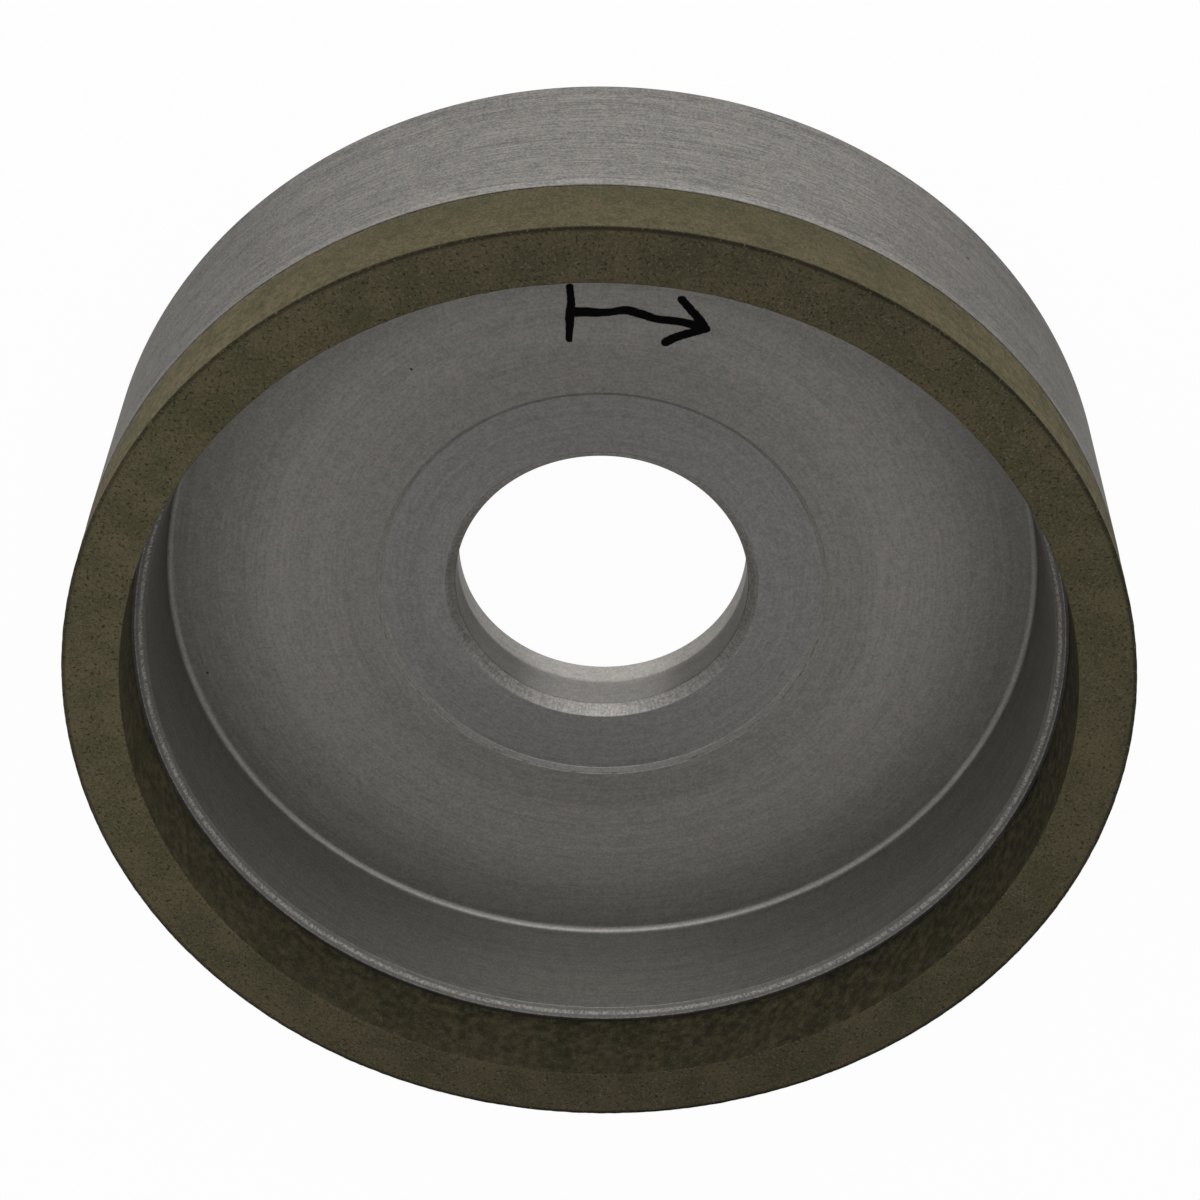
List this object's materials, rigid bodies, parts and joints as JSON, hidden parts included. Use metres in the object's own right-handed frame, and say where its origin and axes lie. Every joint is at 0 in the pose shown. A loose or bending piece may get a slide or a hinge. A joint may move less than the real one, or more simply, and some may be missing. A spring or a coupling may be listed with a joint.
{
  "type": "cup grinding wheel",
  "caption": "Straight cup grinding wheel: a turned metal cup with a central bore and a shallow washer seat carries a moulded abrasive ring on its rim.",
  "frame": {"origin": "centre of the flat back face, on the bore's axis", "axes": "+Z along the bore's axis, from the back face towards the open side and the abrasive face; the wheel is round, so +X and +Y may be any two directions square to it"},
  "size_m": [0.11, 0.11, 0.0327],
  "materials": {
    "turned_aluminium": "fine turned, dull",
    "bonded_abrasive": "matt, fine-grained"
  },
  "bodies": {
    "root": {"body": "turned_aluminium", "abrasive_ring": "bonded_abrasive"}
  },
  "joints": []
}
